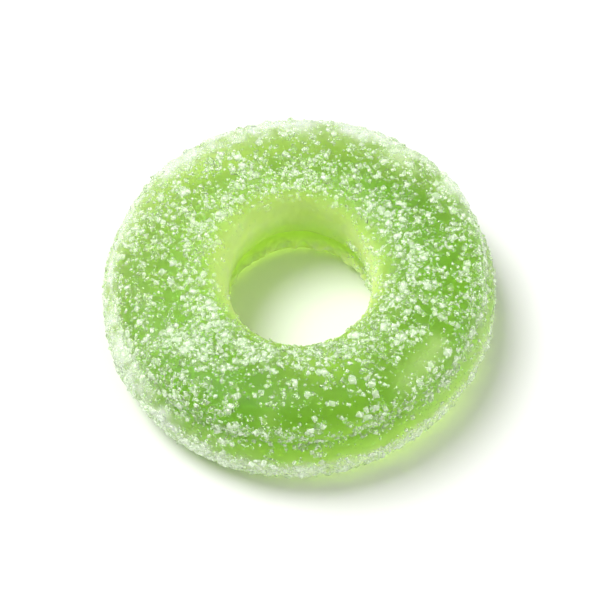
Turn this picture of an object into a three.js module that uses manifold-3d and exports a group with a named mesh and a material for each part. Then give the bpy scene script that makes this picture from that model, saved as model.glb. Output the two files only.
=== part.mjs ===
// Sour apple gummy ring: one ring of green fruit gel, cast in two rounded lobes and tossed in coarse sugar.
// Millimetres, +Z up. The origin is on the floor, on the ring's own axis.
import * as THREE from "three";
import { mergeVertices } from "three/addons/utils/BufferGeometryUtils.js";
import Module from "manifold-3d";

const wasm = await Module();
wasm.setup();

// The two lobes of the gel's cross-section: rounded boxes (superellipses), the upper one set into the lower one.
// middle is the lobe's distance from the ring's axis, power sets how square its corners are, and slant is how much
// the lobe climbs towards the outside, so that the crease between them lies higher outside than in the hole.
const UPPER_LOBE = { middle: 12.2, halfWidth: 5.05, centreZ: 6.35, halfHeight: 3.75, power: 3.1, slant: 0 };
const LOWER_LOBE = { middle: 12.85, halfWidth: 5.25, centreZ: 3.3, halfHeight: 4.05, power: 2.5, slant: 0.12 };
// The point inside both lobes that the outline is drawn from.
const SECTION_HEART = { radius: 12.4, z: 5.2 };
// The crease: how softly one lobe runs into the other, and how deep and wide it is pinched in.
const CREASE_BLEND = 0.25;
const CREASE_PINCH = 0.2;
const CREASE_WIDTH = 0.35;

// How a hand-tossed ring departs from a true one: waves round the ring, each with a count, a size and a phase.
// The hole is a little oval and lies off the middle, so its wall and the outer side have waves of their own.
const OUTER_WAVES = [
  { count: 1, size: 0.18, phase: 4.1 },
  { count: 2, size: 0.2, phase: 4.7 },
  { count: 3, size: 0.18, phase: 4.8 },
  { count: 4, size: 0.045, phase: 2.4 },
];
const HOLE_WAVES = [
  { count: 0, size: 0.14, phase: Math.PI },
  { count: 1, size: 0.39, phase: 1.5 },
  { count: 2, size: 0.39, phase: 3.05 },
];
const HOLE_WAVES_END = { nearest: 8, farthest: 16 }; // the radii between which one set of waves gives way to the other
const HEIGHT_WAVES = [
  { count: 1, size: 0.012, phase: 0.8 },
  { count: 2, size: 0.014, phase: 2.4 },
  { count: 4, size: 0.006, phase: 5.1 },
];

// Facets of the gel.
const STEPS_ROUND = 80;
const STEPS_OVER_TOP = 14;
const STEPS_UNDER_CREASE = 6;
const STEPS_ON_FOOT = 2;

// The largest sugar grains, which are fused to the gel.
const GRAINS = 215;
const GRAIN_SMALLEST = 0.55;
const GRAIN_LARGEST = 0.95;
const GRAIN_NARROWEST = 0.6; // a grain's two lesser sides, as shares of its length
const GRAIN_WIDEST = 0.95;
const GRAIN_SUNK = 0.2; // how far a grain's middle lies under the gel's face, as a share of its length
const GRAIN_GAP = 1.3; // the least distance between two grains' middles
const GRAIN_FLOOR_Z = 0.75; // no grain's middle is lower, so that none reaches the floor
const GRAIN_SEED = 20417;
// How thickly the grains lie in the open, against where they gather: in the outer crease and on the hole's rim.
const OPEN_COVER = 0.45;
const HOLE_RIM = 2.3; // the angle round the section's heart at which the top turns down into the hole
const GATHERING_WIDTH = 0.33;

// How often an interval is halved in a search, and how far to either side of level a crease is looked for.
const HALVINGS = 40;
const CREASE_SEARCH = 0.6;
// The step in angle that slopes are measured over, and a bound on the gel's area per unit step of both angles.
const NUDGE = 0.01;
const LARGEST_STEP_AREA = 18 * 7;

const GEL_COLOUR = "#7fbe36";

// A seeded draw between 0 and 1.
function seededDraw(seed) {
  let state = seed;
  return () => {
    state = (state + 0x6d2b79f5) | 0;
    let mixed = Math.imul(state ^ (state >>> 15), 1 | state);
    mixed = (mixed + Math.imul(mixed ^ (mixed >>> 7), 61 | mixed)) ^ mixed;
    return ((mixed ^ (mixed >>> 14)) >>> 0) / 4294967296;
  };
}

// Distance from the section's heart to a lobe's outline along an angle, found by halving an interval.
function reachOfLobe(lobe, angle) {
  let inside = 0;
  let outside = 2 * (lobe.halfWidth + lobe.halfHeight);
  for (let halving = 0; halving < HALVINGS; halving++) {
    const reach = (inside + outside) / 2;
    const across = SECTION_HEART.radius + reach * Math.cos(angle) - lobe.middle;
    const up = SECTION_HEART.z + reach * Math.sin(angle) - lobe.centreZ - lobe.slant * across;
    const level = Math.abs(across / lobe.halfWidth) ** lobe.power + Math.abs(up / lobe.halfHeight) ** lobe.power;
    if (level < 1) inside = reach;
    else outside = reach;
  }
  return inside;
}

// Both lobes together, with the crease pinched in and the underside cut flat at the floor.
function reachOfGel(angle) {
  const upper = reachOfLobe(UPPER_LOBE, angle);
  const lower = reachOfLobe(LOWER_LOBE, angle);
  const share = THREE.MathUtils.clamp(0.5 + (upper - lower) / (2 * CREASE_BLEND), 0, 1);
  const blended = THREE.MathUtils.lerp(lower, upper, share) + CREASE_BLEND * share * (1 - share);
  const pinch = CREASE_PINCH * Math.exp(-(((upper - lower) / CREASE_WIDTH) ** 2));
  const toFloor = Math.sin(angle) < 0 ? -SECTION_HEART.z / Math.sin(angle) : Infinity;
  return Math.min(blended - pinch, toFloor);
}

function sectionPoint(angle) {
  const reach = reachOfGel(angle);
  return new THREE.Vector2(
    SECTION_HEART.radius + reach * Math.cos(angle),
    Math.max(0, SECTION_HEART.z + reach * Math.sin(angle)),
  );
}

// Angle between from and to where a test changes its answer.
function angleWhere(test, from, to) {
  const before = test(from);
  for (let halving = 0; halving < HALVINGS; halving++) {
    const middle = (from + to) / 2;
    if (test(middle) === before) from = middle;
    else to = middle;
  }
  return (from + to) / 2;
}

// The section's turning points: its crease outside and inside the ring, and the two edges of its flat foot.
const upperIsOutermost = (angle) => reachOfLobe(UPPER_LOBE, angle) > reachOfLobe(LOWER_LOBE, angle);
const standsOnFloor = (angle) => sectionPoint(angle).y < 1e-6;
const OUTER_CREASE = angleWhere(upperIsOutermost, -CREASE_SEARCH, CREASE_SEARCH);
const INNER_CREASE = angleWhere(upperIsOutermost, Math.PI - CREASE_SEARCH, Math.PI + CREASE_SEARCH);
const INNER_FOOT_EDGE = angleWhere(standsOnFloor, INNER_CREASE, 1.5 * Math.PI);
const OUTER_FOOT_EDGE = angleWhere(standsOnFloor, 1.5 * Math.PI, 2 * Math.PI + OUTER_CREASE);

// Closed outline of the section, anticlockwise from the outer crease, with points where it turns.
function sectionOutline() {
  const spans = [
    [OUTER_CREASE, INNER_CREASE, STEPS_OVER_TOP],
    [INNER_CREASE, INNER_FOOT_EDGE, STEPS_UNDER_CREASE],
    [INNER_FOOT_EDGE, OUTER_FOOT_EDGE, STEPS_ON_FOOT],
    [OUTER_FOOT_EDGE, OUTER_CREASE + 2 * Math.PI, STEPS_UNDER_CREASE],
  ];
  const points = spans.flatMap(([from, to, steps]) =>
    Array.from({ length: steps }, (_, step) => sectionPoint(from + ((to - from) * step) / steps)),
  );
  return [...points, points[0].clone()];
}

const waveSum = (waves, azimuth) =>
  waves.reduce((sum, wave) => sum + wave.size * Math.cos(wave.count * azimuth + wave.phase), 0);

// Moves a point of the true ring to where the uneven ring has it. The floor stays flat.
function unevenPlace(point) {
  const azimuth = Math.atan2(point.y, point.x);
  const trueRadius = Math.hypot(point.x, point.y);
  const { nearest, farthest } = HOLE_WAVES_END;
  const outwardness = THREE.MathUtils.clamp((trueRadius - nearest) / (farthest - nearest), 0, 1);
  const shift = THREE.MathUtils.lerp(waveSum(HOLE_WAVES, azimuth), waveSum(OUTER_WAVES, azimuth), outwardness);
  const radius = trueRadius + shift;
  const height = point.z * (1 + waveSum(HEIGHT_WAVES, azimuth));
  return point.set(radius * Math.cos(azimuth), radius * Math.sin(azimuth), height);
}

function gelGeometry() {
  const geometry = new THREE.LatheGeometry(sectionOutline(), STEPS_ROUND).rotateX(Math.PI / 2);
  const positions = geometry.getAttribute("position");
  for (let i = 0; i < positions.count; i++) {
    const place = unevenPlace(new THREE.Vector3().fromBufferAttribute(positions, i));
    positions.setXYZ(i, ...place);
  }
  return geometry;
}

// How thickly the sugar lies at a place on the section, from 0 to 1.
function sugarCover(angle) {
  const nearness = (target) => {
    const turn = Math.atan2(Math.sin(angle - target), Math.cos(angle - target));
    return Math.exp(-((turn / GATHERING_WIDTH) ** 2));
  };
  return THREE.MathUtils.lerp(OPEN_COVER, 1, Math.min(1, nearness(OUTER_CREASE) + nearness(HOLE_RIM)));
}

function surfaceAt(azimuth, angle) {
  const { x: radius, y: height } = sectionPoint(angle);
  return unevenPlace(new THREE.Vector3(radius * Math.cos(azimuth), radius * Math.sin(azimuth), height));
}

// Places for the grains: drawn evenly by area over the gel, thinned by sugarCover, and kept clear of each other.
function grainPlaces(draw) {
  const places = [];
  while (places.length < GRAINS) {
    const azimuth = 2 * Math.PI * draw();
    const angle = 2 * Math.PI * draw();
    const point = surfaceAt(azimuth, angle);
    const along = surfaceAt(azimuth + NUDGE, angle).sub(surfaceAt(azimuth - NUDGE, angle));
    const over = surfaceAt(azimuth, angle + NUDGE).sub(surfaceAt(azimuth, angle - NUDGE));
    const outward = along.cross(over).divideScalar(4 * NUDGE ** 2); // as long as the area of a unit step
    const wanted = LARGEST_STEP_AREA * draw() < outward.length() * sugarCover(angle);
    const clear = places.every((place) => place.point.distanceTo(point) > GRAIN_GAP);
    if (wanted && clear && point.z > GRAIN_FLOOR_Z) places.push({ point, outward: outward.normalize() });
  }
  return places;
}

// One grain of sugar: an uneven block, turned at random and partly sunk in the gel.
function grainGeometry(place, draw) {
  const length = THREE.MathUtils.lerp(GRAIN_SMALLEST, GRAIN_LARGEST, draw() ** 2);
  const lesserSide = () => length * THREE.MathUtils.lerp(GRAIN_NARROWEST, GRAIN_WIDEST, draw());
  const turn = new THREE.Quaternion().setFromEuler(new THREE.Euler(draw() * Math.PI, draw() * Math.PI, 0));
  return new THREE.BoxGeometry(length, lesserSide(), lesserSide())
    .applyQuaternion(turn)
    .translate(...place.point.clone().addScaledVector(place.outward, -GRAIN_SUNK * length));
}

function solidFrom(geometry) {
  geometry.deleteAttribute("normal");
  geometry.deleteAttribute("uv");
  const merged = mergeVertices(geometry, 1e-4);
  return new wasm.Manifold(
    new wasm.Mesh({
      numProp: 3,
      vertProperties: merged.getAttribute("position").array,
      triVerts: new Uint32Array(merged.index.array),
    }),
  );
}

function geometryFrom(solid) {
  const { vertProperties, triVerts } = solid.getMesh();
  return new THREE.BufferGeometry()
    .setAttribute("position", new THREE.BufferAttribute(vertProperties, 3))
    .setIndex(new THREE.BufferAttribute(triVerts, 1));
}

function sugaredGel() {
  const draw = seededDraw(GRAIN_SEED);
  const grains = grainPlaces(draw).map((place) => solidFrom(grainGeometry(place, draw)));
  const solid = grains.reduce((sum, grain) => sum.add(grain), solidFrom(gelGeometry()));
  return geometryFrom(solid);
}

const gummyRing = new THREE.Mesh(
  sugaredGel(),
  new THREE.MeshStandardMaterial({ color: GEL_COLOUR, roughness: 0.35, metalness: 0 }),
);
gummyRing.name = "gummy_ring";

const candy = new THREE.Group();
candy.add(gummyRing);

export default candy;
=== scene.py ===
"""Sour apple gummy ring: a ring of translucent green gel with its coat of sour sugar, on a white sweep."""

import math

import bmesh
import bpy
import numpy as np
from bpy.props import FloatProperty, FloatVectorProperty, IntProperty, PointerProperty
from bpy.types import Operator, Panel, PropertyGroup
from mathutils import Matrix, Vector, noise


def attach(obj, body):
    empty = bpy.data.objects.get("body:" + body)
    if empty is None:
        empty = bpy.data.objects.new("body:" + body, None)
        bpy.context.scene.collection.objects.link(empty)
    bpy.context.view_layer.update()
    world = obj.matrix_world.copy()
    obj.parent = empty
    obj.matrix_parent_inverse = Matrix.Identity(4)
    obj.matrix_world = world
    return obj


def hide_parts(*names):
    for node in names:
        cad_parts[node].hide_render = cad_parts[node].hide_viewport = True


bl_info = {
    "name": "Sour Apple Gummy Ring",
    "version": (1, 0, 0),
    "blender": (4, 5, 0),
    "location": "View3D > Sidebar > Gummy",
    "description": "Casts a gummy ring, tosses it in sour sugar and sets it on a white sweep",
    "category": "Add Mesh",
}

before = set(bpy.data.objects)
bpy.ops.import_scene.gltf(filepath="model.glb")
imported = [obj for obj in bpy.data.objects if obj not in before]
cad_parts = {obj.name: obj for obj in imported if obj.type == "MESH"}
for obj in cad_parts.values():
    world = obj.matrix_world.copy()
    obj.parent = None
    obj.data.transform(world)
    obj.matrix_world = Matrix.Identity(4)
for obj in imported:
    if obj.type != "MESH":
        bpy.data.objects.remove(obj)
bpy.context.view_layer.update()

MM = 0.001
BODY = "root"
NODE = "gummy_ring"

# The gel's section, in millimetres, as the solid has it: two rounded boxes, the upper one set into the lower
# one. Slant is how much a lobe climbs towards the outside.
UPPER_LOBE = {
    "middle": 12.2, "half_width": 5.05, "centre_z": 6.35, "half_height": 3.75, "power": 3.1, "slant": 0,
}
LOWER_LOBE = {
    "middle": 12.85, "half_width": 5.25, "centre_z": 3.3, "half_height": 4.05, "power": 2.5, "slant": 0.12,
}
# The section's heart, a point inside both lobes that the outline is drawn from, and how softly the lobes run
# together. Angles on the section are taken round the heart: 0 is outermost, and the hole's wall is at pi.
HEART_RADIUS = 12.4
HEART_Z = 5.2
CREASE_BLEND = 0.25
HALVINGS = 40

# Waves that make the ring uneven, each with a count round it, a size in millimetres and a phase. Those of
# the hole give way to those of the outer side between two radii. The size of a height wave is a share of it.
OUTER_WAVES = ((1, 0.18, 4.1), (2, 0.2, 4.7), (3, 0.18, 4.8), (4, 0.045, 2.4))
HOLE_WAVES = ((0, 0.14, math.pi), (1, 0.39, 1.5), (2, 0.39, 3.05))
HOLE_WAVES_END = (8, 16)
HEIGHT_WAVES = ((1, 0.012, 0.8), (2, 0.014, 2.4), (4, 0.006, 5.1))

# The gel's mesh and skin: how close points are merged, the height over the foot in which dents and lumps fade
# out so that it stays flat, and how wide and deep the grain of the frosted skin is.
WELD_DISTANCE = 1e-7
FOOT_FADE = 1.2 * MM
FROST_WIDTH = 0.25 * MM
FROST_DEPTH = 0.02 * MM

# Sides of the ring, as azimuths in degrees from +X: the wall of the hole that faces the light, and the low
# right front, where the sugar is thin.
LIT_WALL = -8
LOW_RIGHT = -40

# Where the sugar lies in heaps (above 0) or has left the gel bare (below 0): the azimuth round the ring and
# the angle on the section, in degrees, then the spot's reach in millimetres and how much it changes the coat.
SUGAR_SPOTS = (
    (-146, 74, 0.9, 3.2),
    (-139, 78, 0.9, 3.2),
    (-131, 81, 1.0, 2.8),
    (-122, 84, 0.9, 1.6),
    (-150, 48, 1.2, 1.0),
    (-142, 45, 1.6, 0.8),
    (-128, 50, 1.4, 1.0),
    (-112, 118, 1.6, 1.2),
    (-140, 118, 1.6, 1.2),
    (-86, 122, 1.1, 0.7),
    (-60, 118, 1.6, 0.8),
    (-101, 68, 0.7, 0.5),
    (-108, 52, 0.8, -1.1),
    (-101, 50, 0.85, -1.3),
    (-94, 50, 0.85, -1.3),
    (-87, 52, 0.8, -1.1),
    (-75, 66, 0.7, -1.0),
    (-90, 84, 1.2, -0.4),
    (-54, 52, 1.1, -1.3),
    (-46, 57, 1.1, -1.3),
    (-37, 59, 1.1, -1.3),
    (-29, 62, 0.9, -1.0),
    (-72, 2, 1.1, -1.0),
    (77, 70, 1.4, -0.9),
    (180, 85, 1.3, -0.8),
)

# Where the gel is bare but paler and hazed: azimuth and angle in degrees, reach in millimetres, and how hazy.
# The paleness is partly a painted reflection: the three spots on the right front stand for the card light's
# soft reflection.
HAZE_AND_REFLECTION_SPOTS = (
    (-35, 54, 1.3, 0.5),
    (-44, 53, 1.5, 0.5),
    (-53, 50, 1.3, 0.4),
    (-100, 46, 1.0, 0.25),
    (34, 50, 1.6, 0.35),
    (50, 62, 1.8, 0.4),
)

# The kinds of sugar, largest first. Count names the setting that holds it, and lengths are in millimetres.
# Corner cut is a share of a block's length, and dust has none, because it is specks. Clumping is how strongly
# a kind keeps to where the coat is thick, and veiling how strongly it gathers in the veil. None lies below
# lowest. Light that comes through the gel passes the finer kinds as if they weren't there.
SUGAR_KINDS = (
    {
        "name": "coarse_sugar", "count": "coarse", "smallest": 0.36, "largest": 0.68, "corner_cut": 0.22,
        "clumping": 1.6, "veiling": 0, "lowest": 1.7, "met_by_light_through_gel": True,
    },
    {
        "name": "broken_sugar", "count": "broken", "smallest": 0.22, "largest": 0.42, "corner_cut": 0.22,
        "clumping": 1.6, "veiling": 0.2, "lowest": 1.5, "met_by_light_through_gel": True,
    },
    {
        "name": "middling_sugar", "count": "middling", "smallest": 0.18, "largest": 0.36, "corner_cut": 0,
        "clumping": 1.4, "veiling": 0.5, "lowest": 0, "met_by_light_through_gel": False,
    },
    {
        "name": "fine_sugar", "count": "fine", "smallest": 0.1, "largest": 0.18, "corner_cut": 0,
        "clumping": 1.0, "veiling": 1.6, "lowest": 0, "met_by_light_through_gel": False,
    },
    {
        "name": "sugar_dust", "count": "dust", "smallest": 0.07, "largest": 0.12, "corner_cut": None,
        "clumping": 0.6, "veiling": 2.6, "lowest": 0, "met_by_light_through_gel": False,
    },
)
SHAPES_PER_KIND = 8

# The shape of a crystal, one unit long: its sides, how far its corners stray, and what share of them is cut.
BLOCK_WIDTHS = (0.7, 1)
BLOCK_HEIGHTS = (0.35, 0.6)
BLOCK_SKEW = 0.1
CUT_CORNERS = 0.6
SPECK_HALF_HEIGHT = 0.45
SPECK_SKEW = 0.12

# How crystals lie and look: how strongly small ones outnumber large ones, how far they tilt, how milky clear
# ones are, what share of grains and faces is cracked, and how much milkier that makes them.
SMALL_BIAS = 1.6
TILT = 0.35
CLEAR_MILKINESS = 0.06
CRACKED_SHARE = 0.3
CRACKED_GRAIN_MILKINESS = 0.36
CRACKED_FACE_MILKINESS = 0.4

# The stage, in metres: half the floor's width, the lights' distance, the point that the camera aims at, and
# the nearest that it sees. Its sensor's width is in millimetres.
FLOOR_HALF_WIDTH = 2.0
LIGHT_DISTANCE = 0.3
AIM = (0, -0.84 * MM, 5.08 * MM)
NEAREST_SEEN = 0.01
SENSOR_WIDTH = 36


def linear(hex_colour):
    """An sRGB hex colour as linear red, green and blue, by the curve of that standard."""
    parts = (int(hex_colour[i : i + 2], 16) / 255 for i in (1, 3, 5))
    return tuple(c / 12.92 if c <= 0.04045 else ((c + 0.055) / 1.055) ** 2.4 for c in parts)


def reach_of_lobe(lobe, angle):
    """Distance from the section's heart to a lobe's outline along each angle, by halving an interval."""
    inside = np.zeros_like(angle)
    outside = np.full_like(angle, 2 * (lobe["half_width"] + lobe["half_height"]))
    for _ in range(HALVINGS):
        reach = (inside + outside) / 2
        across = HEART_RADIUS + reach * np.cos(angle) - lobe["middle"]
        up = HEART_Z + reach * np.sin(angle) - lobe["centre_z"] - lobe["slant"] * across
        sideways = np.abs(across / lobe["half_width"]) ** lobe["power"]
        upwards = np.abs(up / lobe["half_height"]) ** lobe["power"]
        too_short = sideways + upwards < 1
        inside = np.where(too_short, reach, inside)
        outside = np.where(too_short, outside, reach)
    return inside


def section_points(angle, pinch_depth, pinch_width, foot_z):
    """Radius and height of the gel's outline at each angle, its crease pinched in and its foot cut flat."""
    upper = reach_of_lobe(UPPER_LOBE, angle)
    lower = reach_of_lobe(LOWER_LOBE, angle)
    share = np.clip(0.5 + (upper - lower) / (2 * CREASE_BLEND), 0, 1)
    reach = lower + (upper - lower) * share + CREASE_BLEND * share * (1 - share)
    reach -= pinch_depth * np.exp(-(((upper - lower) / pinch_width) ** 2))
    # Where the outline is drawn level or upwards, the foot is as good as endlessly far away.
    falling = np.where(np.sin(angle) < 0, np.sin(angle), -1e-9)
    reach = np.minimum(reach, (foot_z - HEART_Z) / falling)
    return HEART_RADIUS + reach * np.cos(angle), HEART_Z + reach * np.sin(angle)


def wave_sum(waves, azimuth):
    return sum(size * np.cos(count * azimuth + phase) for count, size, phase in waves)


def uneven_ring(radius, height, azimuth):
    """Radius and height, in millimetres, that the uneven ring gives a point of the true one."""
    nearest, farthest = HOLE_WAVES_END
    outwardness = np.clip((radius - nearest) / (farthest - nearest), 0, 1)
    shift = wave_sum(HOLE_WAVES, azimuth) * (1 - outwardness) + wave_sum(OUTER_WAVES, azimuth) * outwardness
    return radius + shift, height * (1 + wave_sum(HEIGHT_WAVES, azimuth))


class GelSettings(PropertyGroup):
    steps_round: IntProperty(name="Steps round", description="Faces round the ring", default=400, min=24)
    steps_section: IntProperty(
        name="Steps in section", description="Faces round its section", default=140, min=16
    )
    foot_lift: FloatProperty(
        name="Foot lift",
        description="Height of the gel's flat foot above the floor, held up by the sugar under it",
        default=0.05 * MM, unit="LENGTH",
    )
    pinch_depth: FloatProperty(
        name="Crease depth", description="How deep the crease is pinched in",
        default=0.22 * MM, unit="LENGTH",
    )
    pinch_width: FloatProperty(
        name="Crease width", description="Half width of the crease",
        default=0.3 * MM, unit="LENGTH",
    )
    dent_size: FloatProperty(
        name="Dent size", description="Width of the soft dents in the gel",
        default=2.6 * MM, unit="LENGTH",
    )
    dent_depth: FloatProperty(
        name="Dent depth", description="Depth of the soft dents in the gel",
        default=0.13 * MM, unit="LENGTH",
    )
    pucker_size: FloatProperty(
        name="Pucker size", description="Width of the small puckers that sugar draws in the skin",
        default=0.7 * MM, unit="LENGTH",
    )
    pucker_depth: FloatProperty(
        name="Pucker depth", description="Depth of the small puckers",
        default=0.035 * MM, unit="LENGTH",
    )
    lump_size: FloatProperty(
        name="Lump size", description="Width of the lumps along the ridge in the hole",
        default=0.85 * MM, unit="LENGTH",
    )
    lump_depth: FloatProperty(
        name="Lump depth", description="How far those lumps stand out at most",
        default=0.65 * MM, unit="LENGTH",
    )
    # The skin runs from its deep colour to the pale one by a painted glow, which stands for light through the
    # gel.
    deep_colour: FloatVectorProperty(
        name="Deep colour", description="Colour of the gel's skin where it is deepest",
        default=linear("#a3cd4a"), subtype="COLOR",
    )
    painted_glow_colour: FloatVectorProperty(
        name="Pale colour", description="Colour of the gel's skin where it is palest",
        default=linear("#e4fc98"), subtype="COLOR",
    )
    # Whitish colour of the fine sugar dust, which also paints a sheen along the shoulder where the view
    # grazes it.
    dust_and_sheen_colour: FloatVectorProperty(
        name="Veil colour", description="Colour of the gel where the finest sugar veils it",
        default=linear("#dfe7d9"), subtype="COLOR",
    )
    light_kept: FloatVectorProperty(
        name="Light kept", description="Shares of red, green and blue light left after the body depth",
        default=(0.66, 0.89, 0.17), subtype="COLOR",
    )
    body_depth: FloatProperty(
        name="Body depth", description="Length of gel after which those shares are left",
        default=10 * MM, unit="LENGTH",
    )


class SugarSettings(PropertyGroup):
    coarse: IntProperty(name="Coarse grains", description="Number of coarse grains", default=3000, min=0)
    broken: IntProperty(name="Broken grains", description="Number of broken grains", default=4500, min=0)
    middling: IntProperty(
        name="Middling grains", description="Number of middling grains", default=7000, min=0
    )
    fine: IntProperty(name="Fine grains", description="Number of fine grains", default=10000, min=0)
    dust: IntProperty(name="Dust", description="Number of specks of sugar dust", default=18000, min=0)
    seed: IntProperty(name="Seed", description="Seed of every random draw", default=11)
    drift_size: FloatProperty(
        name="Drift size", description="Width of the patches that the sugar lies in",
        default=2.4 * MM, unit="LENGTH",
    )
    clump_size: FloatProperty(
        name="Clump size", description="Width of the clumps of sugar",
        default=0.9 * MM, unit="LENGTH",
    )
    # The crystals' pale green tint is painted light: it stands for the gel's green light coming through them.
    colour: FloatVectorProperty(
        name="Sugar colour", description="Colour of the crystals",
        default=linear("#f0ffe4"), subtype="COLOR",
    )


class StageSettings(PropertyGroup):
    view_height: FloatProperty(
        name="View height", description="The camera's angle above the floor",
        default=math.radians(57.5), subtype="ANGLE",
    )
    view_distance: FloatProperty(
        name="View distance", description="From the camera to the ring",
        default=0.36, unit="LENGTH",
    )
    view_width: FloatProperty(
        name="View width", description="Width of the picture at the ring",
        default=55.4 * MM, unit="LENGTH",
    )
    floor_colour: FloatVectorProperty(
        name="Floor colour", description="Colour of the white sweep",
        default=linear("#f6f6f4"), subtype="COLOR",
    )
    key_height: FloatProperty(
        name="Key height", description="The key light's angle above the floor",
        default=math.radians(59), subtype="ANGLE",
    )
    key_azimuth: FloatProperty(
        name="Key azimuth", description="The key light's angle round the ring from +X",
        default=math.radians(151), subtype="ANGLE",
    )
    key_strength: FloatProperty(name="Key strength", description="Strength of the key light", default=2.95)
    card_height: FloatProperty(
        name="Card height", description="The reflecting card's angle above the floor",
        default=math.radians(14), subtype="ANGLE",
    )
    card_azimuth: FloatProperty(
        name="Card azimuth", description="The card's angle round the ring from +X",
        default=math.radians(-18), subtype="ANGLE",
    )
    card_strength: FloatProperty(
        name="Card strength", description="Strength of the card's light", default=1.25
    )
    light_spread: FloatProperty(
        name="Light spread", description="How wide the key light and the card look from the ring",
        default=math.radians(34), subtype="ANGLE",
    )
    sky_strength: FloatProperty(
        name="Sky strength", description="Strength of the soft light all round", default=0.4
    )


def add_node(tree, kind, settings=None, inputs=None):
    """Adds a node, sets its properties, and gives its sockets values or links."""
    node = tree.nodes.new(kind)
    for name, value in (settings or {}).items():
        setattr(node, name, value)
    for name, value in (inputs or {}).items():
        if isinstance(value, bpy.types.NodeSocket):
            tree.links.new(value, node.inputs[name])
        else:
            node.inputs[name].default_value = value
    return node


def new_material(name):
    material = bpy.data.materials.new(name)
    material.use_nodes = True
    material.node_tree.nodes.clear()
    return material, material.node_tree


def new_piece(name, mesh, material):
    piece = bpy.data.objects.new(name, mesh)
    bpy.context.scene.collection.objects.link(piece)
    mesh.materials.append(material)
    return piece


def bell(values, middle, width):
    """A smooth hump: 1 at its middle, about a third one width away, and soon next to nothing."""
    return np.exp(-(((values - middle) / width) ** 2))


def smooth_step(values, start, end):
    """A smooth rise from 0 at start to 1 at end, whichever of the two is larger."""
    share = np.clip((values - start) / (end - start), 0, 1)
    return share * share * (3 - 2 * share)


def noise_at(places, size):
    """Soft noise at places, from about -1 to 1, with swells of about one size."""
    return np.array([noise.noise(Vector(place) / size) for place in places])


def ring_angles(places):
    """Azimuth round the ring and angle on the section of places on the gel."""
    across = np.hypot(places[:, 0], places[:, 1]) / MM - HEART_RADIUS
    return np.arctan2(places[:, 1], places[:, 0]), np.arctan2(places[:, 2] / MM - HEART_Z, across)


def toward(azimuths, degrees):
    """How much places face one azimuth, from 0 on the ring's far half to 1."""
    return np.maximum(np.cos(azimuths - math.radians(degrees)), 0)


def hole_bands(angles):
    """How much places lie on each band of the hole's wall: its bulge, and the ridge under its crease."""
    turned = np.mod(angles, 2 * math.pi)
    return bell(turned, 2.75, 0.38), bell(turned, 3.76, 0.14)


def down_the_hole(angles):
    """How far inside the hole places on the section are, from 0 on its rim to 1 from its bulge down."""
    turned = np.mod(angles, 2 * math.pi)
    return smooth_step(turned, 2.1, 2.75) * (turned < 1.4 * math.pi)


def bare_under_crease(azimuths, angles):
    """How much places lie on the nearly bare stripe under the crease, on the right front."""
    return bell(angles, 0.03, 0.19) * toward(azimuths, -45)


def from_spots(places, spots):
    """What a table of spots adds up to at places on the gel."""
    azimuths, angles = np.radians(np.array(spots)[:, :2].T)
    unpinched = section_points(angles, pinch_depth=0, pinch_width=1, foot_z=0)
    radii, heights = uneven_ring(*unpinched, azimuths)
    centres = np.stack([radii * np.cos(azimuths), radii * np.sin(azimuths), heights], 1) * MM
    total = np.zeros(len(places))
    for centre, (_, _, reach, change) in zip(centres, spots):
        total += change * bell(np.linalg.norm(places - centre, axis=1), 0, reach * MM)
    return total


def sugar_cover(places, sugar):
    """How thickly sugar lies at places on the gel, about 1 on average and never below 0."""
    heights = places[:, 2] / MM
    azimuths, angles = ring_angles(places)
    _, ridge = hole_bands(angles)
    bare = bare_under_crease(azimuths, angles)

    # In drifts and clumps all over, then in rows along the outer side, on the foot and on the hole's rim.
    outside = np.abs(angles) < 1.1
    in_crease = 0.6 * bell(heights, 6.5, 0.45)
    over_crease = 0.4 * bell(heights, 7.9, 0.5)
    missing_under_crease = 0.4 * bell(heights, 5.4, 0.5)
    foot_clumps = 1 + 1.6 * noise_at(places, 1.4 * MM)
    cover = 0.92 + 0.8 * noise_at(places, sugar.drift_size) + noise_at(places, sugar.clump_size)
    cover += outside * (in_crease + over_crease - missing_under_crease)
    cover += 1.1 * outside * bell(heights, 2.8, 1.3) * foot_clumps
    cover += 0.75 * bell(angles, 2.1, 0.35) + 0.15 * np.cos(azimuths) ** 2
    cover += from_spots(places, SUGAR_SPOTS)

    # Nowhere quite bare, but next to none down the hole, except on its lit wall, and little low on the right.
    lit_wall = toward(azimuths, LIT_WALL) ** 3
    thin_low_right = 0.5 * toward(azimuths, LOW_RIGHT) * smooth_step(angles, -0.15, -0.4)
    cover = np.maximum(cover, 0.03) * (1 - down_the_hole(angles) * (1 - lit_wall))
    cover *= (1 - 0.9 * bare) * (1 - thin_low_right)
    return (cover + 1.3 * ridge * lit_wall) * smooth_step(heights, 0.15, 0.6)


def gel_haze(places, cover, veil):
    """How cloudy the gel's skin is at places on it, from 0 where it is clear."""
    azimuths, angles = ring_angles(places)
    bulge, ridge = hole_bands(angles)
    left = toward(azimuths, 175)
    right_front = toward(azimuths, -30)
    low_outside = bell(angles, math.radians(-48), math.radians(22))
    mottled = 1 + 0.8 * noise_at(places, 0.8 * MM)
    haze = 0.07 * cover + 0.8 * veil + 0.06 * left + 0.5 * from_spots(places, HAZE_AND_REFLECTION_SPOTS)
    haze += 0.18 * low_outside + 0.09 * right_front
    return haze + 0.6 * bulge + 0.85 * ridge * mottled + 0.15 * down_the_hole(angles)


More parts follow.
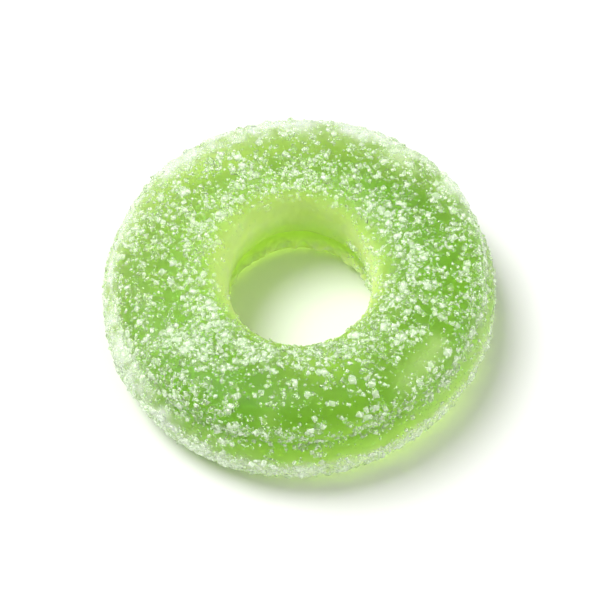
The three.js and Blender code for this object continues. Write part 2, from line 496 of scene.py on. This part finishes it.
def painted_glow(places):
    """How much painted glow pales the gel's skin at places on it, standing for light coming through the gel:
    palest down the hole, on the back left, where the key light shines through, and low on the right front,
    where it leaves, and deepest on top in front."""
    azimuths, angles = ring_angles(places)
    front_right = 0.85 * toward(azimuths, -52) * smooth_step(angles, 0.4, 0.0)
    back_left = 0.72 * toward(azimuths, 135) ** 0.7
    outer_side = np.maximum(back_left, front_right) + 0.45 * from_spots(places, HAZE_AND_REFLECTION_SPOTS)
    return outer_side + down_the_hole(angles)


def dust_and_painted_sheen(places):
    """How thickly the finest sugar veils the gel, from 0 to 1, with a painted sheen in the same band: on the
    outer shoulder, along where the view grazes the ring, most at the back left, where the key light falls,
    and hardly on the bare stripe under the crease, and a little on the hole's rim in front. The haze spots
    add painted reflection."""
    azimuths, angles = ring_angles(places)
    bare = bare_under_crease(azimuths, angles)
    # The painted sheen: strongest towards the key light, on the band of the shoulder that the view grazes.
    round_ring = 0.84 + 0.18 * np.sin(azimuths) - 0.14 * np.cos(azimuths) + 0.08 * np.cos(azimuths) ** 2
    shoulder = np.radians(14 + 33 * np.sin(azimuths))
    patchy = 0.95 + 0.6 * noise_at(places, 2.7 * MM) + 0.6 * noise_at(places, 0.9 * MM)
    veil = bell(angles, shoulder, math.radians(22)) * round_ring * (1 - 0.8 * bare)
    veil += 0.15 * bell(angles, 2.05, 0.25) * toward(azimuths, -90)
    return np.clip(veil * patchy + 0.45 * from_spots(places, HAZE_AND_REFLECTION_SPOTS), 0, 1)


def wall_frost(places):
    """How whitish the frost on the hole's wall is: faint along its bulge, in bumps along its ridge."""
    _, angles = ring_angles(places)
    bulge, ridge = hole_bands(angles)
    bumps = 1 + 1.6 * noise_at(places, 0.9 * MM)
    return (0.12 * bulge + 0.3 * ridge) * bumps


def grain_milk(places, veil):
    """How milky crystals look at places on the gel, about 1 on top: more in the veil and near the foot, and
    little in the hole's shade."""
    azimuths, angles = ring_angles(places)
    in_shade = down_the_hole(angles) * (1 - toward(azimuths, LIT_WALL))
    low = smooth_step(angles, 0.1, -0.4) * (0.8 - 0.5 * toward(azimuths, LOW_RIGHT))
    return (1 + 0.1 * veil) * (1 - 0.85 * in_shade) * (1 + low)


def gelatine_gel(gel):
    """Gelatine gel, cast in starch: clear green depths that light goes right through, a little clouded, under
    a skin that the sugar has left matt. Thin and back-lit parts glow yellow-green and thick ones go dark,
    partly by the light itself and partly by a glow painted into the skin's colour. A whitish sheen is painted
    on the shoulder together with the fine sugar dust there."""
    material, tree = new_material("gelatine_gel_cast")
    place = add_node(tree, "ShaderNodeTexCoord").outputs["Object"]
    frost = add_node(
        tree, "ShaderNodeTexNoise", {},
        {"Vector": place, "Scale": 1 / FROST_WIDTH, "Detail": 2.0, "Roughness": 0.6},
    )
    relief = add_node(
        tree, "ShaderNodeBump", {},
        {"Strength": 0.4, "Distance": FROST_DEPTH, "Height": frost.outputs["Fac"]},
    )
    cloud, veil, glow = (
        add_node(tree, "ShaderNodeAttribute", {"attribute_name": name}).outputs["Fac"]
        for name in ("cloud", "veil", "glow")
    )
    leaving = add_node(tree, "ShaderNodeNewGeometry").outputs["Backfacing"]
    # Painted glow: where the glow attribute says so, the skin is paled as if light shone through the gel
    # there.
    painted_glow_skin = add_node(
        tree, "ShaderNodeMix", {"data_type": "RGBA"},
        {"Factor": glow, "A": (*gel.deep_colour, 1), "B": (*gel.painted_glow_colour, 1)},
    )
    # Fine dust and a painted sheen whiten the skin in the same band.
    dust_and_sheen_skin = add_node(
        tree, "ShaderNodeMix", {"data_type": "RGBA"},
        {"Factor": veil, "A": painted_glow_skin.outputs["Result"], "B": (*gel.dust_and_sheen_colour, 1)},
    )
    # Light that leaves the gel isn't tinted or dimmed a second time by its skin.
    skin_colour = add_node(
        tree, "ShaderNodeMix", {"data_type": "RGBA"},
        {"Factor": leaving, "A": dust_and_sheen_skin.outputs["Result"], "B": (1, 1, 1, 1)},
    )
    clear = add_node(tree, "ShaderNodeMapRange", {}, {"Value": cloud, "To Min": 0.94, "To Max": 0.0})
    soft = add_node(tree, "ShaderNodeMapRange", {}, {"Value": veil, "To Min": 1.0, "To Max": 0.35})
    clear_both_ways = add_node(
        tree, "ShaderNodeMath", {"operation": "MAXIMUM"}, {0: clear.outputs["Result"], 1: leaving}
    )
    shader = add_node(
        tree, "ShaderNodeBsdfPrincipled", {"subsurface_method": "RANDOM_WALK"},
        {
            "Base Color": skin_colour.outputs["Result"],
            "Roughness": 0.55,
            "IOR": 1.42,
            "Specular IOR Level": 0.2,
            "Transmission Weight": clear_both_ways.outputs["Value"],
            "Subsurface Weight": soft.outputs["Result"],
            "Subsurface Radius": (1.0, 1.0, 0.5),
            "Subsurface Scale": 1.5 * MM,
            "Sheen Weight": 0.07,
            "Sheen Roughness": 0.35,
            "Normal": relief.outputs["Normal"],
        },
    )
    # The green of the depths: each colour's loss by the metre, as one density and what is left of it.
    loss = [-math.log(share) / gel.body_depth for share in gel.light_kept]
    depth = add_node(
        tree, "ShaderNodeVolumeAbsorption", {},
        {"Color": (*(1 - each / max(loss) for each in loss), 1), "Density": max(loss)},
    )
    add_node(
        tree, "ShaderNodeOutputMaterial", {},
        {"Surface": shader.outputs["BSDF"], "Volume": depth.outputs["Volume"]},
    )
    return material


class GUMMY_OT_cast_gel(Operator):
    """Cast the two-lobed ring of gel"""

    bl_idname = "gummy.cast_gel"
    bl_label = "Cast gel"

    def execute(self, context):
        gel = context.scene.gummy_gel
        angles = np.linspace(0, 2 * math.pi, gel.steps_section, endpoint=False)
        crease = gel.pinch_depth / MM, gel.pinch_width / MM
        radii, heights = section_points(angles, *crease, gel.foot_lift / MM)
        mesh = bmesh.new()
        verts = [mesh.verts.new((radius * MM, 0, height * MM)) for radius, height in zip(radii, heights)]
        edges = [mesh.edges.new(pair) for pair in zip(verts, verts[1:] + verts[:1])]
        bmesh.ops.spin(
            mesh, geom=verts + edges, cent=(0, 0, 0), axis=(0, 0, 1), angle=2 * math.pi,
            steps=gel.steps_round, use_merge=True,
        )
        bmesh.ops.remove_doubles(mesh, verts=mesh.verts, dist=WELD_DISTANCE)
        bmesh.ops.recalc_face_normals(mesh, faces=mesh.faces)
        mesh.normal_update()
        for vert in mesh.verts:
            vert.co = self.uneven(vert.co, vert.normal, gel)
        data = bpy.data.meshes.new("gel")
        mesh.to_mesh(data)
        mesh.free()
        data.shade_smooth()
        piece = new_piece("gel", data, gelatine_gel(gel))
        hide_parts(NODE)
        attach(piece, BODY)
        return {"FINISHED"}

    def uneven(self, place, outward, gel):
        """Where the uneven ring has a point of the true one: waves first, then dents, puckers and lumps."""
        true_radius = math.hypot(place.x, place.y) / MM
        true_height = place.z / MM
        azimuth = math.atan2(place.y, place.x)
        radius, height = uneven_ring(true_radius, true_height, azimuth)
        moved = Vector((radius * math.cos(azimuth), radius * math.sin(azimuth), height)) * MM
        off_floor = max(0, min(1, (moved.z - gel.foot_lift) / FOOT_FADE))
        _, ridge = hole_bands(math.atan2(true_height - HEART_Z, true_radius - HEART_RADIUS))
        dent = gel.dent_depth * noise.noise(moved / gel.dent_size)
        pucker = gel.pucker_depth * noise.noise(moved / gel.pucker_size)
        lump = gel.lump_depth * ridge * noise.noise(moved / gel.lump_size)
        return moved + outward * (dent + pucker + lump) * off_floor


def sucrose_crystal(colour):
    """Sucrose crystals, sieved and tossed on: clear blocks, some turned milky by cracks, with a glint on the
    odd face and the gel's green showing through."""
    material, tree = new_material("sucrose_crystal_tossed")
    milk = add_node(tree, "ShaderNodeAttribute", {"attribute_name": "milkiness"}).outputs["Fac"]
    clear = add_node(tree, "ShaderNodeMapRange", {}, {"Value": milk, "To Min": 1.0, "To Max": 0.0})
    shader = add_node(
        tree, "ShaderNodeBsdfPrincipled", {},
        {
            # The pale green in this base colour is painted light from the gel behind the crystals.
            "Base Color": (*colour, 1),
            "Roughness": 0.08,
            "IOR": 1.54,
            "Transmission Weight": clear.outputs["Result"],
        },
    )
    add_node(tree, "ShaderNodeOutputMaterial", {}, {"Surface": shader.outputs["BSDF"]})
    return material


def block_shape(draw, corner_cut):
    """One crystal, one unit long: a skewed block, with some of its corners cut off."""
    mesh = bmesh.new()
    bmesh.ops.create_cube(mesh, size=1)
    sides = (1, draw.uniform(*BLOCK_WIDTHS), draw.uniform(*BLOCK_HEIGHTS))
    bmesh.ops.scale(mesh, vec=sides, verts=mesh.verts)
    for vert in mesh.verts:
        vert.co += Vector(draw.uniform(-BLOCK_SKEW, BLOCK_SKEW, 3))
    chipped = [vert for vert in mesh.verts if draw.random() < CUT_CORNERS]
    if corner_cut and chipped:
        bmesh.ops.bevel(
            mesh, geom=chipped, offset=corner_cut, offset_type="OFFSET", affect="VERTICES", segments=1,
            profile=0.5, material=-1,
        )
    return corners_and_triangles(mesh)


def speck_shape(draw):
    """One speck of dust, one unit long: an uneven eight-sided grain."""
    mesh = bmesh.new()
    bmesh.ops.create_cone(mesh, cap_ends=False, segments=4, radius1=0.5, radius2=0, depth=SPECK_HALF_HEIGHT)
    bmesh.ops.translate(mesh, vec=(0, 0, SPECK_HALF_HEIGHT / 2), verts=mesh.verts)
    bmesh.ops.mirror(mesh, geom=mesh.verts[:] + mesh.edges[:] + mesh.faces[:], axis="Z", merge_dist=1e-4)
    for vert in mesh.verts:
        vert.co += Vector(draw.uniform(-SPECK_SKEW, SPECK_SKEW, 3))
    bmesh.ops.recalc_face_normals(mesh, faces=mesh.faces)
    return corners_and_triangles(mesh)


def corners_and_triangles(mesh):
    bmesh.ops.triangulate(mesh, faces=mesh.faces)
    mesh.verts.index_update()
    corners = np.array([vert.co for vert in mesh.verts])
    triangles = np.array([[vert.index for vert in face.verts] for face in mesh.faces])
    mesh.free()
    return corners, triangles


def unit(vectors):
    return vectors / np.linalg.norm(vectors, axis=1, keepdims=True)


def read_all(items, name, width=1, kind=float):
    """One property of all of a mesh's vertices, loops or polygons, as an array with a row for each."""
    values = np.empty(len(items) * width, kind)
    items.foreach_get(name, values)
    return values.reshape(-1, width)


def joined_piece(name, points, triangles, milkiness, material):
    """A piece of many loose crystals, from their points and triangles."""
    data = bpy.data.meshes.new(name)
    data.vertices.add(len(points))
    data.vertices.foreach_set("co", points.ravel())
    data.loops.add(triangles.size)
    data.loops.foreach_set("vertex_index", triangles.ravel())
    data.polygons.add(len(triangles))
    data.polygons.foreach_set("loop_start", np.arange(0, triangles.size, 3))
    data.update(calc_edges=True)
    attribute = data.attributes.new("milkiness", "FLOAT", "FACE")
    attribute.data.foreach_set("value", milkiness.astype(np.float32))
    return new_piece(name, data, material)


class GUMMY_OT_toss_sugar(Operator):
    """Toss the ring in sour sugar of five sizes"""

    bl_idname = "gummy.toss_sugar"
    bl_label = "Toss in sugar"

    def execute(self, context):
        sugar = context.scene.gummy_sugar
        draw = np.random.default_rng(sugar.seed)
        material = sucrose_crystal(sugar.colour)
        self.read_gel(sugar)
        for kind in SUGAR_KINDS:
            shapes = [
                speck_shape(draw) if kind["corner_cut"] is None else block_shape(draw, kind["corner_cut"])
                for _ in range(SHAPES_PER_KIND)
            ]
            thickness = self.cover ** kind["clumping"] + kind["veiling"] * self.veil
            chance = self.areas * thickness * (self.heights > kind["lowest"] * MM)
            piece = self.scatter(kind, shapes, getattr(sugar, kind["count"]), chance, material, draw)
            # Clear crystals throw next to no shadow and tint nothing near them.
            piece.visible_shadow = False
            piece.visible_diffuse = False
            piece.visible_transmission = kind["met_by_light_through_gel"]
            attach(piece, BODY)
        return {"FINISHED"}

    def read_gel(self, sugar):
        """Reads the gel's quads as arrays, works out what sugar lies on them, and marks its skin for it."""
        data = bpy.data.objects["gel"].data
        places = read_all(data.vertices, "co", 3)
        outwards = read_all(data.vertices, "normal", 3)
        quads = read_all(data.loops, "vertex_index", kind=int).reshape(-1, 4)
        cover = sugar_cover(places, sugar)
        veil = dust_and_painted_sheen(places)
        self.corners = places[quads]
        self.outwards = outwards[quads]
        self.areas = read_all(data.polygons, "area").ravel()
        self.heights = places[quads, 2].mean(1)
        self.cover = cover[quads].mean(1)
        self.veil = veil[quads].mean(1)
        self.milk = grain_milk(places, veil)[quads].mean(1)
        skin = {
            "cloud": gel_haze(places, cover, veil),
            # Fine dust, frost on the hole's wall, and a painted sheen on the shoulder.
            "veil": veil + wall_frost(places),
            # Painted glow of light coming through the gel.
            "glow": painted_glow(places),
        }
        for name, values in skin.items():
            attribute = data.attributes.new(name, "FLOAT", "POINT")
            attribute.data.foreach_set("value", np.float32(np.clip(values, 0, 1)))

    def scatter(self, kind, shapes, count, chance, material, draw):
        """Joins count crystals of one kind into a piece, each sunk to its middle and a little tilted."""
        faces = draw.choice(len(chance), size=count, p=chance / chance.sum())
        u, v = draw.random((2, count, 1))
        blend = np.concatenate([(1 - u) * (1 - v), u * (1 - v), u * v, (1 - u) * v], 1)[:, :, None]
        places = (self.corners[faces] * blend).sum(1)
        outward = unit((self.outwards[faces] * blend).sum(1))
        smallest = kind["smallest"] * MM
        largest = kind["largest"] * MM
        sizes = smallest + (largest - smallest) * draw.random(count) ** SMALL_BIAS
        up = unit(outward + TILT * draw.normal(size=(count, 3)))
        along = draw.normal(size=(count, 3))
        along = unit(along - up * (along * up).sum(1, keepdims=True))
        frames = np.stack([along, np.cross(up, along), up], 1)
        cracked = draw.random((count, 1)) < CRACKED_SHARE
        grain_milkiness = CLEAR_MILKINESS + CRACKED_GRAIN_MILKINESS * cracked
        points, triangles, milkiness, start = [], [], [], 0
        for number, (corners, shape_triangles) in enumerate(shapes):
            mine = np.arange(number, count, len(shapes))
            turned = np.einsum("kj,njc->nkc", corners, frames[mine]) * sizes[mine, None, None]
            put = turned + places[mine, None]
            # A crystal that would reach under the floor is lifted onto it.
            put[:, :, 2] -= np.minimum(put[:, :, 2].min(1, keepdims=True), 0)
            points.append(put.reshape(-1, 3))
            offsets = start + np.arange(len(mine)) * len(corners)
            triangles.append((shape_triangles[None] + offsets[:, None, None]).reshape(-1, 3))
            cracked_faces = draw.random((len(mine), len(shape_triangles))) < CRACKED_SHARE
            milky = grain_milkiness[mine] + CRACKED_FACE_MILKINESS * cracked_faces
            milkiness.append(np.clip(milky * self.milk[faces[mine], None], 0, 1).ravel())
            start += len(mine) * len(corners)
        arrays = (np.concatenate(parts) for parts in (points, triangles, milkiness))
        return joined_piece(kind["name"], *arrays, material)


class GUMMY_OT_set_stage(Operator):
    """Set the white sweep, the lights and the camera"""

    bl_idname = "gummy.set_stage"
    bl_label = "Set stage"

    def execute(self, context):
        stage = context.scene.gummy_stage
        self.lay_floor(stage)
        for name, height, azimuth, strength in (
            ("key", stage.key_height, stage.key_azimuth, stage.key_strength),
            ("card", stage.card_height, stage.card_azimuth, stage.card_strength),
        ):
            self.hang_light(context, name, height, azimuth, strength, stage.light_spread)
        self.light_sky(context, stage)
        self.place_camera(context, stage)
        return {"FINISHED"}

    def lay_floor(self, stage):
        mesh = bmesh.new()
        bmesh.ops.create_grid(mesh, x_segments=1, y_segments=1, size=FLOOR_HALF_WIDTH)
        data = bpy.data.meshes.new("floor")
        mesh.to_mesh(data)
        mesh.free()
        # Matt white card, which mirrors nothing, so that it shows only the shadow and the green light in it.
        material, tree = new_material("white_card_matt")
        shader = add_node(
            tree, "ShaderNodeBsdfPrincipled", {},
            {"Base Color": (*stage.floor_colour, 1), "Roughness": 0.9, "Specular IOR Level": 0.0},
        )
        add_node(tree, "ShaderNodeOutputMaterial", {}, {"Surface": shader.outputs["BSDF"]})
        new_piece("floor", data, material)

    def hang_light(self, context, name, height, azimuth, strength, spread):
        """Hangs a sun lamp, whose light comes evenly from one side, however far off it hangs."""
        across = math.cos(height)
        direction = Vector((across * math.cos(azimuth), across * math.sin(azimuth), math.sin(height)))
        data = bpy.data.lights.new(name, "SUN")
        data.energy = strength
        data.angle = spread
        light = bpy.data.objects.new(name, data)
        light.location = direction * LIGHT_DISTANCE
        light.rotation_euler = direction.to_track_quat("Z", "Y").to_euler()
        context.scene.collection.objects.link(light)

    def light_sky(self, context, stage):
        world = bpy.data.worlds.new("soft_light")
        context.scene.world = world
        world.use_nodes = True
        world.node_tree.nodes.clear()
        sky = add_node(
            world.node_tree, "ShaderNodeBackground", {},
            {"Color": (1, 1, 1, 1), "Strength": stage.sky_strength},
        )
        add_node(world.node_tree, "ShaderNodeOutputWorld", {}, {"Surface": sky.outputs["Background"]})

    def place_camera(self, context, stage):
        data = bpy.data.cameras.new("camera")
        camera = bpy.data.objects.new("camera", data)
        context.scene.collection.objects.link(camera)
        context.scene.camera = camera
        back = Vector((0, -math.cos(stage.view_height), math.sin(stage.view_height)))
        camera.location = Vector(AIM) + back * stage.view_distance
        camera.rotation_euler = back.to_track_quat("Z", "Y").to_euler()
        data.sensor_width = SENSOR_WIDTH
        data.lens = SENSOR_WIDTH * stage.view_distance / stage.view_width
        data.clip_start = NEAREST_SEEN
        context.scene.view_settings.view_transform = "Standard"


class GUMMY_PT_panel(Panel):
    """Lists the sizes and colours of the ring, its sugar and its stage"""

    bl_label = "Gummy Ring"
    bl_idname = "GUMMY_PT_panel"
    bl_space_type = "VIEW_3D"
    bl_region_type = "UI"
    bl_category = "Gummy"

    def draw(self, context):
        for label, settings, operator in (
            ("Stage", context.scene.gummy_stage, "gummy.set_stage"),
            ("Gel", context.scene.gummy_gel, "gummy.cast_gel"),
            ("Sugar", context.scene.gummy_sugar, "gummy.toss_sugar"),
        ):
            box = self.layout.box()
            box.label(text=label)
            for name in settings.__annotations__:
                box.prop(settings, name)
            box.operator(operator)


SETTINGS = {"gummy_gel": GelSettings, "gummy_sugar": SugarSettings, "gummy_stage": StageSettings}
CLASSES = (*SETTINGS.values(), GUMMY_OT_set_stage, GUMMY_OT_cast_gel, GUMMY_OT_toss_sugar, GUMMY_PT_panel)


def register():
    for cls in CLASSES:
        bpy.utils.register_class(cls)
    for name, group in SETTINGS.items():
        setattr(bpy.types.Scene, name, PointerProperty(type=group))


def unregister():
    for name in SETTINGS:
        delattr(bpy.types.Scene, name)
    for cls in reversed(CLASSES):
        bpy.utils.unregister_class(cls)


def main():
    register()
    bpy.ops.gummy.set_stage()
    bpy.ops.gummy.cast_gel()
    bpy.ops.gummy.toss_sugar()


if __name__ == "__main__":
    main()
